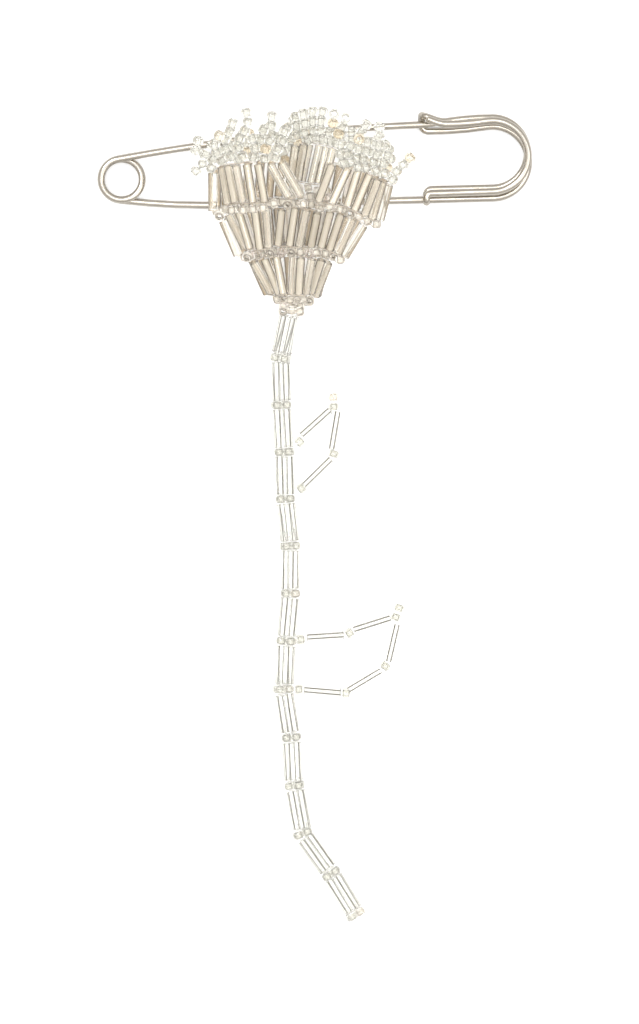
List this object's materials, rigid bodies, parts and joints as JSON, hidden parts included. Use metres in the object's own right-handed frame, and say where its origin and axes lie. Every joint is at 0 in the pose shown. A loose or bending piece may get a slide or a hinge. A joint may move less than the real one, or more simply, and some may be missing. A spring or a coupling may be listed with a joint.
{
  "type": "beaded flower brooch",
  "caption": "Sprung steel safety pin carrying a bell flower woven from glass tube and seed beads, with a long beaded stem and two outline leaves.",
  "frame": {"origin": "Middle of the bounding box's underside, on the surface that the brooch lies on.", "axes": "+X runs along the pin from its coil to its head, +Y from the stem's tip to the flower, +Z from the surface to the viewer."},
  "size_m": [0.0785, 0.1481, 0.0211],
  "materials": {
    "pin_steel": "bright nickel plated spring steel wire",
    "champagne_glass": "smooth champagne glass with a lined hole",
    "clear_glass": "smooth clear glass with a bright hole"
  },
  "bodies": {
    "brooch": {"pin_frame": "pin_steel", "pin_coil": "pin_steel", "flower_base": "champagne_glass", "low_panel_1": "champagne_glass", "low_panel_2": "champagne_glass", "low_panel_3": "champagne_glass", "low_panel_4": "champagne_glass", "low_panel_5": "champagne_glass", "mid_panel_1": "champagne_glass", "mid_panel_2": "champagne_glass", "mid_panel_3": "champagne_glass", "mid_panel_4": "champagne_glass", "mid_panel_5": "champagne_glass", "mid_panel_6": "champagne_glass", "petal_1": "champagne_glass", "petal_2": "champagne_glass", "petal_3": "champagne_glass", "petal_4": "champagne_glass", "petal_5": "champagne_glass", "inner_petal": "champagne_glass", "fringe_1": "clear_glass", "fringe_2": "clear_glass", "fringe_3": "clear_glass", "fringe_4": "clear_glass", "fringe_5": "clear_glass", "inner_fringe": "clear_glass", "stem_1": "clear_glass", "stem_2": "clear_glass", "stem_3": "clear_glass", "stem_4": "clear_glass", "stem_5": "clear_glass", "stem_6": "clear_glass", "stem_7": "clear_glass", "stem_8": "clear_glass", "stem_9": "clear_glass", "stem_10": "clear_glass", "stem_11": "clear_glass", "stem_12": "clear_glass", "stem_13": "clear_glass", "upper_leaf_1": "clear_glass", "upper_leaf_2": "clear_glass", "upper_leaf_3": "clear_glass", "lower_leaf_1": "clear_glass", "lower_leaf_2": "clear_glass", "lower_leaf_3": "clear_glass", "lower_leaf_4": "clear_glass", "lower_leaf_5": "clear_glass"},
    "needle": {"pin_needle": "pin_steel"}
  },
  "joints": [
    {"name": "needle_spring", "type": "hinge", "parent": "brooch", "child": "needle", "pos_m": [-0.03487, 0.06016, 0.0027], "axis": [0, 0, 1], "range_deg": [-8, 0], "stiffness_Nm_per_rad": 0.4, "springref_deg": 17.19, "deforming": ["pin_coil"]}
  ]
}
